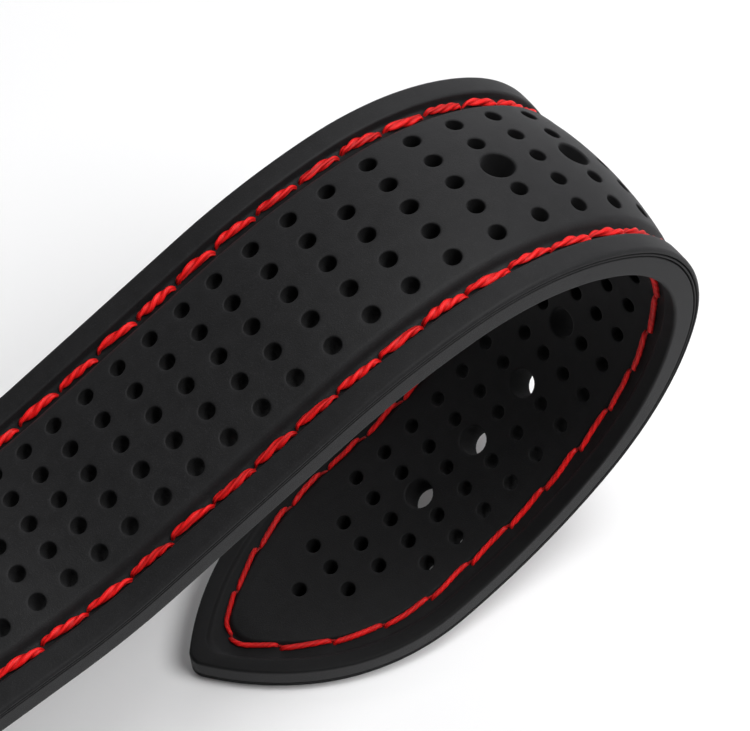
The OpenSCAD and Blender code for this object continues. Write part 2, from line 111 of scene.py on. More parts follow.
def tail_start():
    """Pose of the long half's bar, so that the origin lies under the flat run of the tip."""
    way = route(TAIL_RUNS, (0, 0, LUG_SLOPE))
    p = along(way, way["end"] - REST_BACK, 0, 0)
    return (-p[0], float(crown(COL / 2, PANEL_TOP, DROP_TOP)) - p[2], LUG_SLOPE)


TAIL_AT = tail_start()
TAIL = route(TAIL_RUNS, TAIL_AT)
BAR_STEP = 2 * LUG_R + BAR_GAP  # from one half's bar to the other's
LUG_SIN, LUG_COS = math.sin(math.radians(LUG_SLOPE)), math.cos(math.radians(LUG_SLOPE))
DOWN_SIN, DOWN_COS = math.sin(math.radians(DOWN_SLOPE)), math.cos(math.radians(DOWN_SLOPE))
LUG_AT = (TAIL_AT[0] - BAR_STEP * LUG_COS, TAIL_AT[1] - BAR_STEP * LUG_SIN, LUG_SLOPE)
DOWN_RUN = (LUG_AT[1] - BUCKLE_R - LUG_RUN * LUG_SIN - DOWN_R * (LUG_COS - DOWN_COS)) / DOWN_SIN
SHORT_RUNS = [(0, DOWN_RUN), (DOWN_R, DOWN_SLOPE - LUG_SLOPE), (0, LUG_RUN)]
SHORT_REACH = route(SHORT_RUNS, (0, 0, DOWN_SLOPE))
BUCKLE_AT = (LUG_AT[0] - SHORT_REACH["x"][-1], LUG_AT[1] - SHORT_REACH["z"][-1], DOWN_SLOPE)
SHORT = route(SHORT_RUNS, BUCKLE_AT)
PITCH_S = np.concatenate([[0], np.cumsum(run_lengths(TAIL_RUNS, PITCH_IN))])
PITCH_END = float(run_lengths(TAIL_RUNS, PITCH_IN).sum())


def mid_s(u):
    """Distance on the mid surface of a point at u on the pitch line, where the rows are even."""
    return np.interp(u, PITCH_S, TAIL["s"])


def row_u(r):
    """Place of row r on the pitch line, counted from the tip."""
    return PITCH_END - (np.asarray(r, float) + TIP_ROWS) * ROW


# ---- the tip's outline ----
SIDE_C = SIDE_R - HALF_W
TIP_T = math.sqrt(SIDE_R ** 2 - SIDE_C ** 2)


def nose(d):
    """Radius, centre and first angle of the nose's arc, for the outline moved in by d."""
    r = NOSE_R + NOSE_GROW * np.asarray(d, float)
    c = TIP_T - np.sqrt((SIDE_R - d - r) ** 2 - SIDE_C ** 2)
    return r, c, np.arctan2(SIDE_C, c - TIP_T)


NOSE_T = float(nose(0.0)[1]) - NOSE_R


def outline(d, t0, f, g):
    """Distance from the nose and half width of the outline moved in by d: straight at t0 while f is 0, then the side
    arc's share f, then the nose arc's share g."""
    r, c, b = nose(d)
    a = np.pi / 2 + (b - np.pi / 2) * f
    n = b + (np.pi - b) * g
    t = np.where(g > 0, c + r * np.cos(n), np.where(f > 0, TIP_T + (SIDE_R - d) * np.cos(a), t0))
    y = np.where(g > 0, r * np.sin(n), np.where(f > 0, (SIDE_R - d) * np.sin(a) - SIDE_C, HALF_W - d))
    return t, y


# ---- meshes ----
class Shell:
    """Collects grids of points and their faces, then welds them into one mesh. Points also carry named values."""

    def __init__(self, **values):
        self.points, self.faces, self.marks, self.count = [], [], [], 0
        self.values = values or {"wall": 1, "hole": 1, "inside": 1}

    def grid(self, p, wrap=False, flip=False, mark=0.0):
        """A grid of points as quads; wrap joins the last column to the first; mark holds the points' values."""
        n, m = p.shape[:2]
        i = np.arange(n * m).reshape(n, m) + self.count
        j = np.roll(i, -1, 1) if wrap else i[:, 1:]
        k = i if wrap else i[:, :-1]
        quads = np.stack([k[:-1], j[:-1], j[1:], k[1:]], -1).reshape(-1, 4)
        self.points.append(p.reshape(-1, 3))
        self.faces.append(quads[:, ::-1] if flip else quads)
        wide = sum(self.values.values())
        self.marks.append(np.broadcast_to(mark, (n, m, wide)).reshape(-1, wide))
        self.count += n * m

    def add(self, other):
        """Takes in the grids of another shell."""
        self.faces += [f + self.count for f in other.faces]
        self.points += other.points
        self.marks += other.marks
        self.count += other.count

    def mesh(self, name, weld=2e-4):
        """One mesh in metres: points within weld millimetres merge, and faces with under three corners drop out."""
        p, f, a = np.concatenate(self.points), np.concatenate(self.faces), np.concatenate(self.marks)
        key = np.round(p / weld).astype(np.int64)
        _, first, same = np.unique(key, axis=0, return_index=True, return_inverse=True)
        f = same.reshape(-1)[f]
        p, a = p[first], a[first]
        again = np.stack([f[:, k] == f[:, (k + 1) % 4] for k in range(4)], 1)
        quads, one = f[~again.any(1)], again.sum(1) == 1
        keep = np.array([[1, 2, 3], [0, 2, 3], [0, 1, 3], [0, 1, 2]])[again[one].argmax(1)]
        tris = np.take_along_axis(f[one], keep, 1)
        tris = tris[(tris[:, 0] != tris[:, 1]) & (tris[:, 1] != tris[:, 2]) & (tris[:, 0] != tris[:, 2])]
        me = bpy.data.meshes.new(name)
        sizes = np.concatenate([np.full(len(quads), 4), np.full(len(tris), 3)])
        loops = np.concatenate([quads.ravel(), tris.ravel()])
        me.vertices.add(len(p))
        me.vertices.foreach_set("co", (p * MM).astype(np.float32).ravel())
        me.loops.add(len(loops))
        me.loops.foreach_set("vertex_index", loops.astype(np.int32))
        me.polygons.add(len(sizes))
        me.polygons.foreach_set("loop_start", np.concatenate([[0], np.cumsum(sizes)[:-1]]).astype(np.int32))
        me.polygons.foreach_set("loop_total", sizes.astype(np.int32))
        me.update(calc_edges=True)
        me.validate()
        at = 0
        for label, wide in self.values.items():
            layer = me.attributes.new(label, "FLOAT" if wide == 1 else "FLOAT_VECTOR", "POINT")
            part = a[:, at : at + wide].astype(np.float32).ravel()
            layer.data.foreach_set("value" if wide == 1 else "vector", part)
            at += wide
        me.polygons.foreach_set("use_smooth", np.ones(len(me.polygons), bool))
        return me


def show(shell, name, body, nodes, material):
    """Links a shell's mesh as a piece that rides on a body, stands for CAD nodes and takes a material."""
    ob = bpy.data.objects.new(name, shell.mesh(name))
    bpy.context.scene.collection.objects.link(ob)
    ob.data.materials.append(material)
    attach(ob, body)
    if nodes:
        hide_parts(*nodes)


# ---- bands ----
JOIN = HALF_W - PANEL_HALF + 0.55  # where the panel's lattice meets the border, from the edge
CELL_PARTS = 6  # parts of a cell's side
# The lines between columns: their distance from the middle, or a share of the half width where that is less
BOUNDARIES = ((1.25, 0.28), (3.75, 0.665), (6.02, 0.975))
BOW = 0.32  # how far the inner two bow out round a tongue hole
VENT_SOFT, TONGUE_SOFT = 0.14, 0.2  # radius of a hole's rounded rim
RING_MIX = (0.0, 0.42, 0.75, 1.0)  # rings of a cell, as shares of the way from its outline to the rim
RIM_TURNS = np.radians([22, 45, 67, 90])  # rings of the rim, as turns into the hole
HOLE_SHADE = np.array([0, 0, 0, 0, 0.05, 0.3, 0.8, 1])[:, None]  # how much painted shade each of these rings gets in a hole, more the deeper it lies
TONGUE_SHADE = 0.75  # a tongue hole gets less painted shade
BLOCK_H, BLOCK_REACH = 1.74, 6.9  # half height of a moulded end, and how far it reaches from its bar
BLOCK_IN, BLOCK_STEP, BLOCK_UNDER = 6.3, 2.4, 1.66  # where the panel dips under it, over what length, to what height
BAND_FROM, HOLES_FROM, FIRST_TONGUE = 3.0, 9.0, 4  # the long half's start, first holes, and first tongue row
SHORT_FROM, SHORT_TO, SHORT_ROWS, SHORT_PLAIN = 6.0, 5.2, 10, 9  # the short half's ends, hole rows, plain rows
WALL_SHADED_UNTIL, WALL_UNSHADED_FROM = 48.0, 82.0  # the long half's side wall has painted shade up to the first and its full lighter dusty colour from the second
INSIDE = (0.0, 0.0, 1.0)  # wall, hole and inside values of a point on the inner face, whose inside value is painted shade
INSIDE_FLANGE = 1.7  # inside value of the flange's inner face, whose painted shade is darker still
HAIR = 1e-9  # less than any size here, for comparisons


def curve(p, n, first=False):
    """Points of a smooth curve through the first and last of four points, led by the two between them."""
    t = np.linspace(0, 1, n + 1)[:, None]
    p = np.array(p)
    q = (1 - t) ** 3 * p[0] + 3 * t * (1 - t) ** 2 * p[1] + 3 * t ** 2 * (1 - t) * p[2] + t ** 3 * p[3]
    return [tuple(v) for v in (q if first else q[1:])]


def edge_profile(joint_top, joint_bottom):
    """The border's profile as offsets from the edge and heights, from the panel's top round to its underside: soft
    shoulder, groove, flange, side wall with two fine parting lines, inner flange and the inner seam's channel."""
    pe, go = HALF_W - PANEL_HALF, FLANGE_W
    gt, gb, ft, fb = GROOVE_TOP, -GROOVE_BOTTOM, FLANGE_TOP, -FLANGE_BOTTOM
    jt = joint_top
    out = curve([(JOIN, jt), (pe + 0.28, jt - 0.03), (pe + 0.06, jt - 0.2), (pe - 0.08, gt + 0.4)], 6, True)
    out += curve([out[-1], (pe - 0.16, gt + 0.18), (pe - 0.26, gt + 0.03), (pe - 0.5, gt)], 4)
    out += [(go + 0.3, gt)]
    out += curve([out[-1], (go + 0.1, gt), (go, gt + 0.1), (go, gt + 0.3)], 3)
    out += curve([(go, ft - 0.25), (go, ft - 0.07), (go - 0.08, ft), (go - 0.3, ft)], 5, True)
    out += [(go / 2, ft + 0.01)]
    out += curve([(0.36, ft), (0.15, ft), (0.03, ft - 0.1), (0.0, ft - 0.3)], 6, True)
    line = ft - 0.4
    for h in (line, line - 0.26):
        out += [(0.0, h + 0.1), (0.02, h + 0.07), (0.2, h + 0.03)]
        out += [(0.2, h - 0.03), (0.02, h - 0.07), (0.0, h - 0.1)]
    out += [(0.0, line - 0.41), (0.0, 0.2), (0.0, fb + 0.32)]
    out += curve([(0.0, fb + 0.25), (0.0, fb + 0.1), (0.1, fb), (0.25, fb)], 6, True)
    out += curve([(1.1, fb), (1.32, fb), (1.38, gb), (1.7, gb)], 6, True)
    out += [(2.4, gb)]
    out += curve([(2.62, gb), (2.74, gb), (2.78, -joint_bottom), (3.0, -joint_bottom)], 4, True)
    out += [(JOIN, -joint_bottom)]
    return np.array(out)


def half_at(t, d=JOIN):
    """Half width of the outline moved in by d, at the distance t from the nose."""
    r, c, b = nose(d)
    side = np.sqrt(np.maximum((SIDE_R - d) ** 2 - np.minimum(t - TIP_T, 0) ** 2, 0)) - SIDE_C
    tb = TIP_T + (SIDE_R - d) * np.cos(b)
    cap = np.sqrt(np.maximum(r ** 2 - (t - c) ** 2, 0))
    return np.where(t < tb, cap, side)


def columns(s, u, tongue, tip_end=None):
    """Where the six lines between columns and the two panel edges lie at each s: straight lines that bow round the
    tongue holes by a squared cosine and close in with the tip."""
    edge = np.full(np.shape(s), HALF_W - JOIN)
    if tip_end is not None:
        edge = np.minimum(edge, half_at(tip_end + NOSE_T - s))
    w = [np.minimum(y, share * edge) for y, share in BOUNDARIES] + [edge]
    if len(tongue):
        near = (u[..., None] - tongue) / ROW
        w[0] = w[0] + BOW * np.where(np.abs(near) < 0.5, np.cos(np.pi * near) ** 2, 0).sum(-1)
    return np.stack([-w[3], -w[2], -w[1], -w[0], w[0], w[1], w[2], w[3]], -1)


def parts(c):
    """Into how many parts column c is divided; the first and last have no holes."""
    return 1 if c in (0, 6) else CELL_PARTS


def across(w):
    """Points on a row line from the far edge to the near one, as the cells divide it."""
    y = [np.linspace(w[c + 1], w[c], parts(c) + 1)[:-1] for c in range(6, -1, -1)]
    return np.append(np.concatenate(y), w[0])


def hole_cell(s, y, sc, yc, r):
    """Rings of a cell with a hole, and how far each sinks: they blend from the cell's outline to a circle and follow
    the rim's quarter round. Their turns are the mean of the outline's and of even ones."""
    ring_s = np.concatenate([s[:-1, 0], s[-1, :-1], s[:0:-1, -1], s[0, :0:-1]])
    ring_y = np.concatenate([y[:-1, 0], y[-1, :-1], y[:0:-1, -1], y[0, :0:-1]])
    turn = np.unwrap(np.arctan2(ring_y - yc, ring_s - sc))
    turn = turn[0] + np.pi * np.arange(len(turn)) / len(turn) + (turn - turn[0]) * 0.5
    cs, cy = np.cos(turn), np.sin(turn)
    soft = VENT_SOFT if r == VENT_R else TONGUE_SOFT
    mix, into = np.array(RING_MIX)[:, None], r + soft - soft * np.sin(RIM_TURNS)[:, None]
    S = np.concatenate([(1 - mix) * ring_s + mix * (sc + (r + soft) * cs), sc + into * cs])
    Y = np.concatenate([(1 - mix) * ring_y + mix * (yc + (r + soft) * cy), yc + into * cy])
    return S, Y, np.concatenate([np.zeros(len(mix)), soft * (1 - np.cos(RIM_TURNS))])[:, None]


def band_mesh(way, lines, row_holes, s_of, cols, tip_end=None):
    """A perforated band. The panel is a lattice of cells between the row lines: a cell with a hole is a set of rings
    that go in at its outer face and come back on the inner one, a plain cell is two grids. The border is the edge
    profile carried along the outline, and round the nose where there is a tip."""
    shell = Shell()
    tip = tip_end is not None

    def lay(s, y, h):
        """A point of the band, whose top dips under a moulded end by a smooth step."""
        near = np.clip((np.minimum(s, np.inf if tip else way["end"] - s) - BLOCK_IN) / BLOCK_STEP, 0, 1)
        return along(way, s, y, np.minimum(h, BLOCK_UNDER + (PANEL_TOP - BLOCK_UNDER) * near ** 2 * (3 - 2 * near)))

    def top_h(y):
        """Height of the panel's outer face."""
        return crown(y, PANEL_TOP, DROP_TOP)

    def low_h(y):
        """Height of the panel's inner face."""
        return -crown(y, PANEL_BOTTOM, DROP_BOTTOM)

    v = np.linspace(0, 1, CELL_PARTS + 1)
    spans = [a + (b - a) * v for a, b in zip(lines[:-1], lines[1:])]
    for k, u in enumerate(spans):
        s, w = s_of(u), cols(u)
        for c in range(7):
            y = w[:, c, None] + (w[:, c + 1] - w[:, c])[:, None] * np.linspace(0, 1, parts(c) + 1)
            ss = np.broadcast_to(s[:, None], y.shape)
            hole = row_holes(k, c - 3) if 0 < c < 6 else None
            if hole is None:
                shell.grid(lay(ss, y, top_h(y)), flip=True)
                # The inner face carries painted shade.
                shell.grid(lay(ss, y, low_h(y)), mark=INSIDE)
                continue
            u_hole, y_hole, r = hole
            S, Y, sink = hole_cell(ss, y, float(s_of(u_hole)), y_hole, r)
            # Marks of the rings: painted shade on the inner face's half, and painted shade deep in the hole.
            mark = np.zeros((2 * len(S), S.shape[1], 3))
            mark[len(S):, :, 2] = 1.0
            mark[:, :, 1] = np.concatenate([HOLE_SHADE, HOLE_SHADE[::-1]]) * (1.0 if r == VENT_R else TONGUE_SHADE)
            both = [lay(S, Y, top_h(Y) - sink), lay(S, Y, low_h(Y) + sink)[::-1]]
            shell.grid(np.concatenate(both), wrap=True, mark=mark)
    u = np.concatenate([span[:-1] for span in spans] + [[lines[-1]]])
    s = s_of(u)
    end = tip_end if tip else 0.0
    t = end + NOSE_T - s
    f = g = np.zeros(len(s))
    if tip:
        a = np.arccos(np.clip((t - TIP_T) / (SIDE_R - JOIN), -1, 1))
        f = np.where(t < TIP_T, (a - np.pi / 2) / (nose(JOIN)[2] - np.pi / 2), 0.0)
    d, h = edge_profile(float(top_h(HALF_W - JOIN)), float(-low_h(HALF_W - JOIN))).T
    mark = np.zeros((1, len(d), 3))
    mark[0, :, 0] = (d < 0.05) & (h > -1.0) & (h < FLANGE_TOP - 0.75)
    # Painted shade in the grooves of the two parting lines, as in a hole.
    mark[0, :, 1] = (d > 0.15) & (d < 0.22) & (h < FLANGE_TOP - 0.35) & (h > 0)
    # Painted shade on the inner face, darker still on the inner flange.
    mark[0, :, 2] = np.where((h < -GROOVE_BOTTOM + 0.01) & (d > 0.05), np.where(d < 1.35, INSIDE_FLANGE, 1.0), 0.0)
    inner = d > 2.5
    rise = np.where(inner & (h > 0), np.clip((h - GROOVE_TOP - 0.1) / (h[0] - GROOVE_TOP - 0.1), 0, 1), 0)
    fall = np.where(inner & (h < 0), np.clip((-h - GROOVE_BOTTOM) / (-h[-1] - GROOVE_BOTTOM), 0, 1), 0)

    def strip(t, f, g, side):
        """The border on one side: the profile at each place of the outline, its inner part lifted with the crown."""
        T, Y = outline(d[None, :], t[:, None], f[:, None], g[:, None])
        join_y = outline(JOIN, t, f, g)[1][:, None]
        lift_top = top_h(join_y) - top_h(HALF_W - JOIN)
        lift_low = low_h(join_y) - low_h(HALF_W - JOIN)
        return lay(end + NOSE_T - T, side * Y, h[None, :] + rise * lift_top + fall * lift_low)

    # The side wall's lighter dusty colour fades out towards the bar: a painted shade.
    dust_and_shade_marks = np.repeat(mark, len(s), 0)
    if tip:
        dust_and_shade_marks[:, :, 0] *= np.clip((s - WALL_SHADED_UNTIL) / (WALL_UNSHADED_FROM - WALL_SHADED_UNTIL), 0, 1)[:, None]
    for side in (1, -1):
        shell.grid(strip(t, f, g, side), flip=side > 0, mark=dust_and_shade_marks)
    if tip:
        y = across(cols(np.array([lines[-1]]))[0])
        turn = np.linspace(0, 2, len(y))
        g_nose, one = np.where(turn <= 1, turn, 2 - turn) + HAIR, np.ones(len(y))
        near, far = strip(one, one, g_nose, 1), strip(one, one, g_nose, -1)
        shell.grid(np.where((turn <= 1)[:, None, None], near, far), flip=True, mark=mark)
        T, Y = outline(JOIN, one, one, g_nose)
        Y = np.where(turn <= 1, Y, -Y)
        last = np.full(len(y), s[-1])
        shell.grid(np.stack([lay(last, y, top_h(y)), lay(end + NOSE_T - T, Y, top_h(Y))]))
        # The nose's inner face carries painted shade.
        shell.grid(np.stack([lay(last, y, low_h(y)), lay(end + NOSE_T - T, Y, low_h(Y))]), flip=True, mark=INSIDE)
    for k in (0,) if tip else (0, -1):
        y = across(cols(np.array([u[k]]))[0])
        shell.grid(np.stack([lay(s[k], y, top_h(y)), lay(s[k], y, low_h(y))]), flip=k == 0)
        for side in (1, -1):
            loop = strip(t[[k]], f[[k]], g[[k]], side)[0]
            shell.grid(np.stack([loop, loop[::-1]])[:, : (len(loop) + 1) // 2], flip=(side > 0) != (k == 0))
    return shell


def tail_band():
    """The long half's band, from inside its bar end to the nose."""
    end = TAIL["end"]
    last = int((PITCH_END - HOLES_FROM) / ROW - TIP_ROWS + 0.01)
    r, c, b = nose(JOIN)
    u_end = float(np.interp(end + NOSE_T - (c + r * np.cos(b)), TAIL["s"], PITCH_S))
    plain = [BAND_FROM, (BAND_FROM + float(row_u(last + 0.5))) / 2]
    lines = np.concatenate([plain, row_u(np.arange(last, -3, -1) + 0.5), [u_end]])
    lines = lines[lines <= u_end + HAIR]
    tongue = row_u(np.arange(FIRST_TONGUE, FIRST_TONGUE + 2 * TONGUE_HOLES, 2))

    def row_holes(k, c):
        """Place, offset and radius of the hole in row k of the cells and column c, if there is one."""
        r = last - (k - len(plain))
        if r > last or r < 0 or abs(c) > (0 if r == 0 else 1 if r < 3 else 2):
            return None
        big = c == 0 and r in range(FIRST_TONGUE, FIRST_TONGUE + 2 * TONGUE_HOLES, 2)
        return float(row_u(r)), c * COL, TONGUE_R if big else VENT_R

    return band_mesh(TAIL, lines, row_holes, mid_s, lambda u: columns(mid_s(u), u, tongue, end), end)


def short_band():
    """The short half's band, between its two moulded ends, with holes next to the quick-release bar."""
    end = SHORT["end"]
    rows = (end - SHORT_FROM - np.arange(1, SHORT_ROWS + 1) * ROW)[::-1]
    plain = np.linspace(SHORT_FROM, rows[0] - ROW / 2, SHORT_PLAIN + 1)[:-1]
    lines = np.concatenate([plain, rows - ROW / 2, [rows[-1] + ROW / 2, end - SHORT_TO]])

    def row_holes(k, c):
        """Place, offset and radius of the hole in row k of the cells and column c, if there is one."""
        i = k - SHORT_PLAIN
        return (float(rows[i]), c * COL, VENT_R) if 0 <= i < SHORT_ROWS else None

    return band_mesh(SHORT, lines, row_holes, lambda u: u, lambda u: columns(u, u, ()))


# ---- moulded ends ----
BLOCK_SOFT, BORE_R, BLOCK_HALF = 0.4, 0.95, 9.9  # corner radius, bore for the bar, half width
BUCKLE_HALF, SLOT_HALF, SLOT_END = 9.7, 1.6, 5.5  # half width of the buckle's barrel, and its slot for the tongue


def end_block(way, s0, inward, barrel, spans):
    """Moulded ends round a bar: the side view of a barrel and its block, carried across the strap. It moves in by a
    quarter round at both ends of each span, and the ends are rings from it to the bore."""
    shell = Shell()
    a0 = math.asin(BLOCK_H / barrel)
    back, corner = np.linspace(a0, 2 * np.pi - a0, 40), np.linspace(0, np.pi / 2, 5)
    far, high = BLOCK_REACH - BLOCK_SOFT, BLOCK_H - BLOCK_SOFT
    flat = np.linspace(barrel * math.cos(a0), far, 12)[1:-1]
    level = np.full(len(flat), BLOCK_H)
    round_x, round_h = BLOCK_SOFT * np.cos(corner), BLOCK_SOFT * np.sin(corner)
    x = np.concatenate([barrel * np.cos(back), flat, far + round_h, far + round_x[1:], flat[::-1]])
    h = np.concatenate([barrel * np.sin(back), -level, -high - round_x, high + round_h[1:], level])
    dx, dh = np.roll(x, -1) - np.roll(x, 1), np.roll(h, -1) - np.roll(h, 1)
    nx, nh = -dh / np.hypot(dx, dh), dx / np.hypot(dx, dh)
    angle = np.arctan2(h, x)
    bore_x, bore_h = BORE_R * np.cos(angle), BORE_R * np.sin(angle)
    q = np.radians(np.linspace(0, 90, 5))
    inset = BLOCK_SOFT * (1 - np.sin(np.append(q, q[::-1])))[:, None]
    for y0, y1 in spans:
        step = BLOCK_SOFT * (1 - np.cos(q))
        Y = np.concatenate([[y0], y0 + step, y1 - step[::-1], [y1]])[:, None]
        X = np.vstack([bore_x, x + nx * inset, bore_x])
        H = np.vstack([bore_h, h + nh * inset, bore_h])
        p = along(way, s0 + inward * X, Y, H)
        shell.grid(np.concatenate([p, p[:1]]), wrap=True, flip=inward > 0)
    return shell


def bridge(way, x0, x1, y):
    """The solid end of the tongue's slot: a box whose section is a circle's sine and cosine to the power 1/4."""
    shell = Shell()
    a = np.linspace(0, 2 * np.pi, 33)[:-1]
    box_x, box_h = (np.sign(v) * np.abs(v) ** 0.25 for v in (np.cos(a), np.sin(a)))
    closed = np.array([0, 1, 1, 0])[:, None]
    X = (x0 + x1) / 2 + (x1 - x0) / 2 * box_x * closed
    shell.grid(along(way, X, np.array([-y, -y, y, y])[:, None], BLOCK_H * box_h * closed), wrap=True, flip=True)
    return shell


# ---- seams ----
SEAM_FROM = 7.5  # distance of the seams' ends from the bars
SIDE_POINTS, ARC_POINTS, NOSE_POINTS, SHORT_POINTS = 900, 200, 60, 600
LINK_HALF, LINK_SHADE = 0.75, 0.85  # half length of the thin links between inner stitches, and the painted shade on them
BACK_SHARE = 0.54  # share of the inner seam before its stitches stand apart


def seam_path(start, end, tip_end=None, side=-1):
    """Dense points of a seam: along one side, or down one side, round the tip and back along the other."""
    if tip_end is None:
        return np.linspace(start, end, SHORT_POINTS), np.full(SHORT_POINTS, side * SEAM_Y)
    s = np.linspace(start, tip_end + NOSE_T - TIP_T, SIDE_POINTS)
    f, g = np.linspace(0, 1, ARC_POINTS)[1:], np.linspace(0, 1, NOSE_POINTS)[1:]
    tf, yf = outline(HALF_W - SEAM_Y, TIP_T, f, 0 * f)
    tg, yg = outline(HALF_W - SEAM_Y, TIP_T, 1 + 0 * g, g)
    s = np.concatenate([s, tip_end + NOSE_T - tf, tip_end + NOSE_T - tg])
    y = np.concatenate([np.full(SIDE_POINTS, SEAM_Y), yf, yg])
    return np.concatenate([s, s[-2::-1]]), np.concatenate([-y, y[-2::-1]])


def unit(v):
    """Vectors divided by their lengths."""
    return v / np.linalg.norm(v, axis=-1, keepdims=True)


def sew(way, path, h, size, first, last, lay, slant, sink, taper, split, uneven, sign=1, sides=24, steps=36):
    """Twisted thread sewn along a path. Stitch k runs from the distance first[k] to last[k], crosses the seam's line
    from slant[0] to slant[1], and sinks at both ends into the hole it shares with its neighbour: sink[0] from its end
    on, over the length sink[1] to the depth sink[2]. Over the share taper[0] of its length it swells by a sine from
    taper[1] of its size. The section is the outline of three plies, each a circle set off from the middle by split
    times its radius, that turn once per lay. Sines of k and of the distance d make the stitches uneven."""
    s, y = path
    q = np.append(0, np.cumsum(np.linalg.norm(np.diff(along(way, s, y, h), axis=0), axis=1)))
    tau = np.linspace(0, 1, steps)
    tau = tau - 0.1 * np.sin(2 * np.pi * tau) / np.pi
    first, last = np.asarray(first)[:, None], np.asarray(last)[:, None]
    k = np.arange(len(first))[:, None]
    d = np.clip(first + (last - first) * tau, 0, q[-1])
    e = np.minimum(tau, 1 - tau) * (last - first)
    sway = size * (0.12 * np.sin(2 * np.pi * tau + 1.9 * k) + 0.08 * np.sin(2.3 * k))
    sway = slant[0] + (slant[1] - slant[0]) * tau + sway
    dip = (1 - np.clip((e - sink[0]) / sink[1], 0, 1)) ** 1.8 * sink[2]
    arch = 0.1 * size * np.sin(np.pi * tau) * (1 + 0.5 * np.sin(1.7 * k))

    def at(d, lift=0.0):
        """Points of the seam's line at the distances d."""
        return along(way, np.interp(d, q, s), np.interp(d, q, y), h + lift)

    up = at(d, sign) - at(d)
    out = unit(np.cross(unit(at(np.clip(d + 0.05, 0, q[-1])) - at(np.clip(d - 0.05, 0, q[-1]))), up))
    c = at(d) + out * sway[..., None] + up * (arch - dip)[..., None]
    t = unit(np.gradient(c, axis=1))
    b = unit(np.cross(t, up))
    v = np.cross(b, t)
    a = np.linspace(0, 2 * np.pi, sides + 1)[:-1]
    turn = (2 * np.pi * (d - first) / (lay * (1 + 0.3 * np.sin(2.7 * k))) + 2.1 * k)[..., None]
    r = np.zeros(d.shape + (sides,))
    for i in range(3):
        ply = (size / (1 + split) * (1 + uneven * np.sin(1.9 * k + 2.2 * i + 1.6 * d)))[..., None]
        off = a - turn - 2 * np.pi * i / 3
        r = np.maximum(r, split * ply * np.cos(off) + np.sqrt(ply ** 2 - (split * ply * np.sin(off)) ** 2))
    full = np.sin(np.pi / 2 * np.clip(e / (taper[0] * (last - first)), 0, 1))
    thin = (taper[1] + (1 - taper[1]) * full) * (1 + 0.06 * np.sin(1.3 * k))
    across_yarn = np.cos(a)[:, None] * b[:, :, None] + np.sin(a)[:, None] * v[:, :, None]
    p = c[:, :, None] + (r * thin[..., None])[..., None] * across_yarn
    # Painted shade in the valleys between the plies, by how far the section dips in.
    deep = np.clip((size - r) / (size - r.min()), 0, 1)
    yarn = np.stack([r * np.cos(a - turn), r * np.sin(a - turn), np.broadcast_to(d[..., None], r.shape)], -1)
    shell = Shell(deep=1, sunk=1, yarn=3)
    for one, middle, shade, hid, fibre in zip(p, c, deep, dip / sink[2], yarn):
        mark = np.zeros((steps + 2, sides, 5))
        # Painted shade in the ply valleys.
        mark[1:-1, :, 0] = shade
        # Painted shade where the stitch sinks into its hole.
        mark[1:-1, :, 1] = hid[:, None]
        mark[1:-1, :, 2:] = fibre
        ends = [np.broadcast_to(middle[i], (1, sides, 3)) for i in (0, -1)]
        shell.grid(np.concatenate([ends[0], one, ends[1]]), wrap=True, mark=mark, flip=True)
    return shell


def path_length(way, path, h):
    """Length of a seam's path at the height h."""
    return float(np.linalg.norm(np.diff(along(way, *path, h), axis=0), axis=1).sum())


def outer_seam(way, path, size, pitch, lay):
    """The needle thread: three plies, and a small gap at every hole."""
    h = GROOVE_TOP + size
    length = path_length(way, path, h)
    at = np.linspace(0, length, max(1, round(length / pitch)) + 1)
    gap = np.where(np.arange(len(at) - 1) < len(at) / 2, 0.0, 0.13)[:, None]
    return sew(way, path, h, size, at[:-1], at[1:], lay, slant=(-0.1, 0.1), sink=(gap, 1.3 * size, 1.7 * size),
               taper=(0.44, 0.4), split=0.95, uneven=0.3)


def inner_seam(way, path, size, pitch, lay):
    """The bobbin thread: smooth yarn a little aslant between the holes, and a thin link at every hole."""
    h = -GROOVE_BOTTOM - 0.75 * size
    length = path_length(way, path, h)
    at = np.linspace(0.3, length - 0.3, max(1, round(length / pitch)) + 1)
    gap = np.where(np.arange(len(at) - 1) < BACK_SHARE * len(at), 0.0, 0.3)
    yarn = sew(way, path, h, size, at[:-1] + gap, at[1:] - gap, lay, slant=(0.16, -0.16), split=0.3, uneven=0.05,
               sink=(0.0, 1.9 * size, 2.0 * size), taper=(0.22, 0.66), sign=-1, sides=18, steps=30)
    link = sew(way, path, h + 0.5 * size, 0.5 * size, at[1:-1] - LINK_HALF, at[1:-1] + LINK_HALF, lay,
               slant=(-0.16, 0.16), split=0.3, uneven=0.1, sink=(0.0, 0.3, size), taper=(0.2, 0.7),
               sign=-1, sides=10, steps=12)
    # The links get painted shade, as if sunk in a hole.
    link.marks = [np.where([False, True, False, False, False], LINK_SHADE, mark) for mark in link.marks]
    yarn.add(link)
    return yarn


# ---- keepers ----
# Each keeper's name, body, CAD node, distance from the buckle's bar and clearance round the band
KEEPERS = (("keeper_fixed", "strap", "fixed_keeper", 12, 0.05),
           ("keeper_floating", "keeper", "floating_keeper", 25, 0.3))
KEEPER_WALL, KEEPER_LEN = 1.3, 7.0  # the ring's thickness, and its length along the strap
KEEPER_SPARE = 0.6  # room over the two bands
KEEPER_IN, KEEPER_OUT = 0.4, 1.6  # corner radii of the ring's inside and outside
KEEPER_SQUARE, KEEPER_SOFT = 0.16, 0.5  # powers of the section's sine and cosine that square its corners


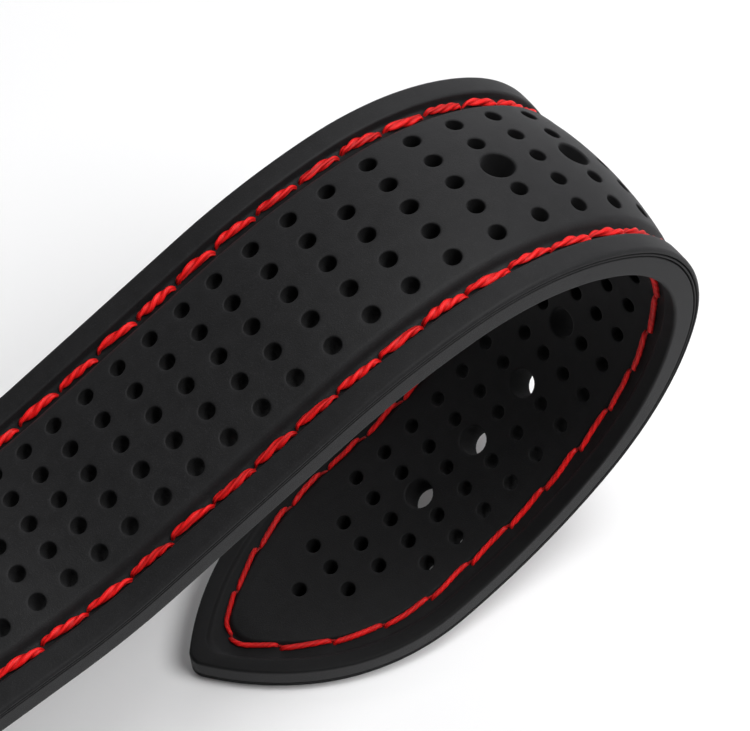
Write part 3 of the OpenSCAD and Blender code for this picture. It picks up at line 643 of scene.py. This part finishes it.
def rounded(half, low, high, r, n=10):
    """A closed path: a rectangle with corners of radius r, n points to a corner and to a side."""
    out = []
    y, top, base = half - r, high - r, low + r
    for y, z, a in ((y, top, 0), (-y, top, 90), (-y, base, 180), (y, base, 270)):
        v = np.radians(np.linspace(a, a + 90, n))
        out.append(np.stack([y + r * np.cos(v), z + r * np.sin(v)], -1))
    sides = [a[-1] + (b[0] - a[-1]) * np.linspace(0, 1, n + 1)[1:-1, None] for a, b in zip(out, out[1:] + out[:1])]
    return np.concatenate([v for pair in zip(out, sides) for v in pair])


def keeper_ring(at, gap):
    """A ring round the band: a section with soft corners, carried round a rounded rectangle."""
    low, high, half = -PANEL_BOTTOM - gap, 2 * PANEL_TOP + PANEL_BOTTOM + KEEPER_SPARE, HALF_W + gap
    inner = rounded(half, low, high, KEEPER_IN)
    outer = rounded(half + KEEPER_WALL, low - KEEPER_WALL, high + KEEPER_WALL, KEEPER_OUT)
    v = np.linspace(0, 2 * np.pi, 41)[:-1]
    wall = (0.5 + 0.5 * np.sign(np.cos(v)) * np.abs(np.cos(v)) ** KEEPER_SOFT)[None, :, None]
    length = KEEPER_LEN / 2 * np.sign(np.sin(v)) * np.abs(np.sin(v)) ** KEEPER_SQUARE
    p = inner[:, None] * (1 - wall) + outer[:, None] * wall
    shell = Shell()
    p = along(SHORT, at + length, p[..., 0], p[..., 1])
    shell.grid(np.concatenate([p, p[:1]]), wrap=True, flip=True)
    return shell


# ---- materials ----
def put(nt, node, inputs):
    """Links outputs to a node's inputs, or sets numbers and colours on them."""
    for name, value in inputs.items():
        socket = node.inputs[name]
        if isinstance(value, bpy.types.NodeSocket):
            nt.links.new(value, socket)
        else:
            socket.default_value = (*value, 1) if socket.type == "RGBA" else value


def add(nt, kind, out, inputs=None, **settings):
    """An output of a new node, with its settings and inputs."""
    n = nt.nodes.new("ShaderNode" + kind)
    for name, value in settings.items():
        setattr(n, name, value)
    put(nt, n, inputs or {})
    return n.outputs[out]


def times(nt, a, b):
    """a times b, each an output or a number."""
    return add(nt, "Math", 0, {0: a, 1: b}, operation="MULTIPLY")


def plus(nt, a, b):
    """a plus b."""
    return add(nt, "Math", 0, {0: a, 1: b}, operation="ADD")


def blend(nt, fac, a, b):
    """Colour a, and b where fac is 1."""
    return add(nt, "Mix", 2, {0: fac, 6: a, 7: b}, data_type="RGBA")


def noise(nt, coord, scale, detail, rough):
    """Noise from 0 to 1, scale times finer than the coordinate."""
    return add(nt, "TexNoise", "Fac", {"Scale": scale, "Detail": detail, "Roughness": rough, "Vector": coord})


def bump(nt, height, strength, distance, under=None):
    """Fine relief from a height, on top of the relief under it."""
    inputs = {"Strength": strength, "Distance": distance, "Height": height}
    return add(nt, "Bump", "Normal", {**inputs, "Normal": under} if under else inputs)


def ramp(nt, fac, stops):
    """Colours between (place, colour) stops."""
    n = nt.nodes.new("ShaderNodeValToRGB")
    e = n.color_ramp.elements
    e[0].position, e[0].color = stops[0][0], (*stops[0][1], 1)
    e[1].position, e[1].color = stops[-1][0], (*stops[-1][1], 1)
    for place, colour in stops[1:-1]:
        e.new(place).color = (*colour, 1)
    nt.links.new(fac, n.inputs["Fac"])
    return n.outputs["Color"]


def scaled(c, k):
    """A colour times k."""
    return tuple(min(1.0, v * k) for v in c)


def new_material(name):
    """An empty material, its nodes, its shader and its Object coordinates."""
    m = bpy.data.materials.new(name)
    m.use_nodes = True
    nt = m.node_tree
    return m, nt, nt.nodes["Principled BSDF"], add(nt, "TexCoord", "Object")


def silicone_material(colour, roughness):
    """Soft-touch silicone: near black, with a fine matt grain and a dusty side wall; painted shade fades the wall out
    towards the bar, darkens the inner face and blackens the holes and parting lines.
    """
    m, nt, shader, obj = new_material("soft_touch_silicone")
    fine, mid = noise(nt, obj, 9000, 3, 0.75), noise(nt, obj, 900, 4, 0.6)
    wall, hole, inside = (add(nt, "Attribute", "Fac", attribute_name=name) for name in ("wall", "hole", "inside"))
    body = ramp(nt, mid, [(0.3, scaled(colour, 0.8)), (0.7, scaled(colour, 1.2))])
    # The side wall's lighter dusty colour and, two lines down, its extra dust specks; the wall mark fades both out
    # towards the bar as painted shade.
    body = blend(nt, times(nt, wall, 0.9), body, scaled(colour, 1.3))
    speck = ramp(nt, fine, [(0.56, (0, 0, 0)), (0.7, (1, 1, 1))])
    body = blend(nt, times(nt, speck, plus(nt, times(nt, wall, 0.4), 0.28)), body, scaled(colour, 6))
    # Painted shade on the inner face.
    body = blend(nt, times(nt, inside, 0.4), body, scaled(colour, 0.1))
    # Painted shade: near black in the holes and in the parting lines' grooves.
    body = blend(nt, hole, body, scaled(colour, 0.1))
    rough = plus(nt, plus(nt, times(nt, fine, 0.16), roughness - 0.08), times(nt, hole, 0.5))
    relief = bump(nt, fine, 0.5, 0.00006, bump(nt, mid, 0.2, 0.00006))
    put(nt, shader, {"Base Color": body, "Roughness": rough, "IOR": 1.42, "Specular IOR Level": 0.2, "Normal": relief,
                     "Sheen Weight": 0.03, "Sheen Roughness": 0.5, "Sheen Tint": (0.75, 0.75, 0.8)})
    return m


def thread_material(colour):
    """Twisted polyester: bright red plies with fibre streaks, with painted shade in the valleys between the plies,
    where the stitches sink into the holes and on the inner links.
    """
    m, nt, shader, obj = new_material("twisted_red_thread")
    yarn = add(nt, "Attribute", "Vector", attribute_name="yarn")
    deep, sunk = (add(nt, "Attribute", "Fac", attribute_name=name) for name in ("deep", "sunk"))
    fibre = noise(nt, add(nt, "Mapping", "Vector", {"Vector": yarn, "Scale": (1.0, 1.0, 0.07)}), 11, 3, 0.65)
    bright = (1.0, colour[1] * 3 + 0.01, colour[2] * 3 + 0.01)
    body = ramp(nt, fibre, [(0.3, scaled(colour, 0.55)), (0.5, colour), (0.75, bright)])
    body = blend(nt, times(nt, noise(nt, obj, 1300, 3, 0.6), 0.25), body, scaled(colour, 0.6))
    # Painted shade in the valleys between the plies.
    body = blend(nt, times(nt, deep, 0.85), body, scaled(colour, 0.25))
    # Painted shade where the stitches sink into the holes, and on the links.
    body = blend(nt, times(nt, sunk, 0.8), body, scaled(colour, 0.12))
    put(nt, shader, {"Base Color": body, "Roughness": 0.5, "Specular IOR Level": 0.25,
                     "Normal": bump(nt, fibre, 0.7, 0.00006)})
    return m


def steel_material(name, colour, roughness):
    """Brushed stainless steel: fine streaks along the brushing, in the roughness and the bump."""
    m, nt, shader, obj = new_material(name)
    streak = noise(nt, add(nt, "Mapping", "Vector", {"Vector": obj, "Scale": (1.0, 0.04, 1.0)}), 9000, 3, 0.7)
    body = ramp(nt, noise(nt, obj, 300, 3, 0.5), [(0.3, scaled(colour, 0.92)), (0.7, scaled(colour, 1.04))])
    rough = ramp(nt, streak, [(0.3, (roughness - 0.07,) * 3), (0.7, (roughness + 0.08,) * 3)])
    put(nt, shader, {"Base Color": body, "Metallic": 1.0, "Roughness": rough,
                     "Normal": bump(nt, streak, 0.2, 0.00003)})
    return m


# Where the table starts and ends to fade to white, in metres, and its glow near the strap
FLOOR_CLEAR, FLOOR_WHITE, FLOOR_GLOW = 0.2, 0.8, 0.04


def floor_material(colour):
    """White table: pale and matt, and fading to white for the camera beyond the strap's shadow."""
    m, nt, shader, obj = new_material("white_table")
    body = ramp(nt, noise(nt, obj, 60, 4, 0.6), [(0.3, scaled(colour, 0.995)), (0.7, colour)])
    away = add(nt, "VectorMath", "Value", {0: obj}, operation="LENGTH")
    far = add(nt, "MapRange", "Result", {0: away, 1: FLOOR_CLEAR, 2: FLOOR_WHITE, 3: FLOOR_GLOW, 4: 1.0})
    glow = times(nt, add(nt, "LightPath", "Is Camera Ray"), far)
    put(nt, shader, {"Base Color": body, "Emission Color": (1, 1, 1), "Emission Strength": glow, "Roughness": 0.9,
                     "Specular IOR Level": 0.1})
    return m


# ---- properties ----
COLOUR = {"subtype": "COLOR", "size": 3, "min": 0, "max": 1}


class STRAP_PG_finish(bpy.types.PropertyGroup):
    """Colours and finishes"""
    silicone: FloatVectorProperty(
        name="Silicone", description="Colour of the silicone", default=(0.0088, 0.0088, 0.0092), **COLOUR)
    silicone_roughness: FloatProperty(
        name="Silicone roughness", description="Roughness of the face", subtype="FACTOR", min=0, max=1, default=0.56)
    thread: FloatVectorProperty(
        name="Thread", description="Colour of the seams", default=(0.86, 0.008, 0.008), **COLOUR)
    steel: FloatVectorProperty(
        name="Steel", description="Colour of buckle and bars", default=(0.62, 0.62, 0.63), **COLOUR)
    steel_roughness: FloatProperty(
        name="Steel roughness", description="Roughness of the steel", subtype="FACTOR", min=0, max=1, default=0.28)


class STRAP_PG_seam(bpy.types.PropertyGroup):
    """Sizes of the seams"""
    top_size: FloatProperty(
        name="Needle thread", description="Diameter of the outer thread", unit="LENGTH", default=0.65 * MM)
    under_size: FloatProperty(
        name="Bobbin thread", description="Diameter of the inner thread", unit="LENGTH", default=0.46 * MM)
    top_pitch: FloatProperty(
        name="Outer stitch", description="Length of an outer stitch", unit="LENGTH", default=3.72 * MM)
    under_pitch: FloatProperty(
        name="Inner stitch", description="Length of an inner stitch", unit="LENGTH", default=4.35 * MM)
    top_lay: FloatProperty(
        name="Outer lay", description="Length of one turn of the outer plies", unit="LENGTH", default=4.4 * MM)
    under_lay: FloatProperty(
        name="Inner lay", description="Length of one turn of the inner plies", unit="LENGTH", default=2.2 * MM)


class STRAP_PG_stage(bpy.types.PropertyGroup):
    """Table, lamps and camera"""
    table: FloatVectorProperty(name="Table", description="Colour of the table", default=(0.92, 0.92, 0.925), **COLOUR)
    lens: FloatProperty(name="Lens", description="Focal length of the camera", unit="CAMERA", default=114.67)
    sky: FloatProperty(name="Surroundings", description="Strength of the even light from all round", default=0.05)
    gloss: FloatProperty(name="Mirrored white", description="Strength of the white in the reflections", default=1.0)
    key: FloatProperty(name="Key lamp", description="Power of the large lamp in front", unit="POWER", default=2.36)


# ---- steps ----
BRIDGE_IN, BRIDGE_OVER = 0.02, 0.1  # how far the slot's end piece keeps inside the block and overlaps its arms


def silicone(context):
    """The silicone's material, made once."""
    f = context.scene.strap_finish
    made = bpy.data.materials.get("soft_touch_silicone")
    return made or silicone_material(tuple(f.silicone), f.silicone_roughness)


class STRAP_OT_bands(bpy.types.Operator):
    """Builds the perforated silicone of both halves, with the moulded ends"""
    bl_idname = "strap.bands"
    bl_label = "Bands"

    def execute(self, context):
        m = silicone(context)
        show(tail_band(), "tail_band", "strap", ["tail_strap"], m)
        show(end_block(TAIL, 0, 1, LUG_R, [(-BLOCK_HALF, BLOCK_HALF)]), "tail_bar_end", "strap", [], m)
        show(short_band(), "short_band", "strap", ["buckle_strap"], m)
        end = end_block(SHORT, SHORT["end"], -1, LUG_R, [(-BLOCK_HALF, BLOCK_HALF)])
        show(end, "short_lug_end", "strap", [], m)
        end = end_block(SHORT, 0, 1, BUCKLE_R, [(-BUCKLE_HALF, -SLOT_HALF), (SLOT_HALF, BUCKLE_HALF)])
        show(end, "short_buckle_end", "strap", [], m)
        end = bridge(SHORT, SLOT_END, BLOCK_REACH - BRIDGE_IN, SLOT_HALF + BRIDGE_OVER)
        show(end, "short_slot_end", "strap", [], m)
        return {"FINISHED"}


class STRAP_OT_seams(bpy.types.Operator):
    """Sews the red seams of both halves"""
    bl_idname = "strap.seams"
    bl_label = "Seams"

    def execute(self, context):
        g, m = context.scene.strap_seam, thread_material(tuple(context.scene.strap_finish.thread))
        top = (g.top_size / MM / 2, g.top_pitch / MM, g.top_lay / MM)
        under = (g.under_size / MM / 2, g.under_pitch / MM, g.under_lay / MM)
        end = TAIL["end"]
        path = seam_path(SEAM_FROM, end, end)
        show(outer_seam(TAIL, path, *top), "tail_outer_seam", "strap", ["tail_top_thread"], m)
        show(inner_seam(TAIL, path, *under), "tail_inner_seam", "strap", ["tail_under_thread"], m)
        for side, word in ((-1, "near"), (1, "far")):
            path = seam_path(SEAM_FROM, SHORT["end"] - SEAM_FROM, None, side)
            one, node = outer_seam(SHORT, path, *top), "short_top_thread_" + word
            show(one, "short_outer_seam_" + word, "strap", [node], m)
            one, node = inner_seam(SHORT, path, *under), "short_under_thread_" + word
            show(one, "short_inner_seam_" + word, "strap", [node], m)
        return {"FINISHED"}


class STRAP_OT_keepers(bpy.types.Operator):
    """Builds the fixed and the floating keeper"""
    bl_idname = "strap.keepers"
    bl_label = "Keepers"

    def execute(self, context):
        m = silicone(context)
        for name, body, node, at, gap in KEEPERS:
            show(keeper_ring(at, gap), name, body, [node], m)
        return {"FINISHED"}


class STRAP_OT_steel(bpy.types.Operator):
    """Gives the buckle and the bars their brushed steel"""
    bl_idname = "strap.steel"
    bl_label = "Steel"

    def execute(self, context):
        f = context.scene.strap_finish
        bright = steel_material("brushed_steel", tuple(f.steel), f.steel_roughness)
        wire = steel_material("spring_wire", scaled(tuple(f.steel), 0.85), 0.35)
        for name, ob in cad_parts.items():
            if any(word in name for word in ("bar_", "buckle_frame", "buckle_tongue", "plunger")):
                ob.data.materials.clear()
                ob.data.materials.append(wire if name.endswith("spring") else bright)
        return {"FINISHED"}


# Each lamp's turn and height in degrees, its diameter in metres, its power as a share of the key's
LAMPS = (("key", -60, 55, 0.35, 1.0), ("top", -25, 72, 0.2, 0.91), ("back", 90, 65, 0.3, 0.105),
         ("rim", 45, 22, 0.36, 0.2))
LAMP_AWAY, LAMP_AIM = 0.62, (0, 0, 0.02)  # metres from the point they look at, and that point
SKY_COLOUR = (0.96, 0.96, 1.0)
GLOSS_SLOPE, GLOSS_MIDDLE = 0.9, 0.5  # how the mirrored white grows to the right, and its middle value
TABLE_HALF = 6  # half side of the table in metres
# The camera's place in metres and its turn, as columns right, up and back
CAMERA_AT = (-0.0402321, -0.0833954, 0.1749764)
CAMERA_TURN = ((0.8154768, 0.4940501, -0.3015164), (-0.5778926, 0.6660096, -0.4716687),
               (-0.0322152, 0.5588790, 0.8286232))


def look_rows(d):
    """Rotation rows of a lamp that looks along d: its -Z runs along d, and its X is level."""
    z = -d / np.linalg.norm(d)
    x = np.cross([0.0, 0.0, 1.0], z)
    x = x / np.linalg.norm(x) if np.linalg.norm(x) > 1e-6 else np.array([1.0, 0, 0])
    return np.stack([x, np.cross(z, x), z], 1).tolist()


class STRAP_OT_stage(bpy.types.Operator):
    """Lays the white table and sets the lamps and the camera"""
    bl_idname = "strap.stage"
    bl_label = "Stage"

    def execute(self, context):
        g, scene = context.scene.strap_stage, context.scene
        me = bpy.data.meshes.new("table")
        r = TABLE_HALF
        me.from_pydata([(-r, -r, 0), (r, -r, 0), (r, r, 0), (-r, r, 0)], [], [(0, 1, 2, 3)])
        me.materials.append(floor_material(tuple(g.table)))
        table = bpy.data.objects.new("table", me)
        scene.collection.objects.link(table)
        scene.world = bpy.data.worlds.new("studio")
        scene.world.use_nodes = True
        nt = scene.world.node_tree
        seen = times(nt, add(nt, "LightPath", "Is Camera Ray"), 1.0 - g.sky)
        x = add(nt, "SeparateXYZ", "X", {0: add(nt, "TexCoord", "Generated")})
        lift = plus(nt, times(nt, x, GLOSS_SLOPE * g.gloss), GLOSS_MIDDLE * g.gloss)
        lift = add(nt, "Math", 0, {0: lift, 1: 0.0}, operation="MAXIMUM")
        gloss = times(nt, add(nt, "LightPath", "Is Glossy Ray"), lift)
        put(nt, nt.nodes["Background"], {"Color": SKY_COLOUR, "Strength": plus(nt, plus(nt, seen, gloss), g.sky)})
        for name, turn, height, size, share in LAMPS:
            az, el = math.radians(turn), math.radians(height)
            at = LAMP_AWAY * np.array([math.cos(el) * math.cos(az), math.cos(el) * math.sin(az), math.sin(el)])
            lamp = bpy.data.lights.new(name, "AREA")
            lamp.shape, lamp.size, lamp.energy = "DISK", size, g.key * share
            ob = bpy.data.objects.new(name, lamp)
            scene.collection.objects.link(ob)
            ob.location = at + np.array(LAMP_AIM)
            ob.rotation_euler = Matrix(look_rows(-at)).to_euler()
        cam = bpy.data.cameras.new("photo_camera")
        cam.sensor_width, cam.lens = 36.0, g.lens
        cam.clip_start, cam.clip_end = 0.005, 20
        ob = bpy.data.objects.new("photo_camera", cam)
        scene.collection.objects.link(ob)
        ob.matrix_world = Matrix([[*row, at] for row, at in zip(CAMERA_TURN, CAMERA_AT)] + [[0, 0, 0, 1]])
        scene.camera = ob
        scene.view_settings.view_transform = "Standard"
        return {"FINISHED"}


class STRAP_PT_panel(bpy.types.Panel):
    """Lists the sizes and the steps"""
    bl_idname = "STRAP_PT_panel"
    bl_label = "Strap"
    bl_space_type = "VIEW_3D"
    bl_region_type = "UI"
    bl_category = "Strap"

    def draw(self, context):
        for group in ("strap_finish", "strap_seam", "strap_stage"):
            settings = getattr(context.scene, group)
            for key in settings.__annotations__:
                self.layout.prop(settings, key)
        for step in STEPS:
            self.layout.operator(step.bl_idname)


STEPS = (STRAP_OT_bands, STRAP_OT_seams, STRAP_OT_keepers, STRAP_OT_steel, STRAP_OT_stage)
GROUPS = {"strap_finish": STRAP_PG_finish, "strap_seam": STRAP_PG_seam, "strap_stage": STRAP_PG_stage}


def register():
    """Registers the settings, the steps and the panel."""
    for c in (*GROUPS.values(), *STEPS, STRAP_PT_panel):
        bpy.utils.register_class(c)
    for name, group in GROUPS.items():
        setattr(bpy.types.Scene, name, PointerProperty(type=group))


def unregister():
    """Takes them out again."""
    for name in GROUPS:
        delattr(bpy.types.Scene, name)
    for c in reversed((*GROUPS.values(), *STEPS, STRAP_PT_panel)):
        bpy.utils.unregister_class(c)


def main():
    """Runs every step."""
    register()
    for step in STEPS:
        group, name = step.bl_idname.split(".")
        getattr(getattr(bpy.ops, group), name)()


if __name__ == "__main__":
    main()
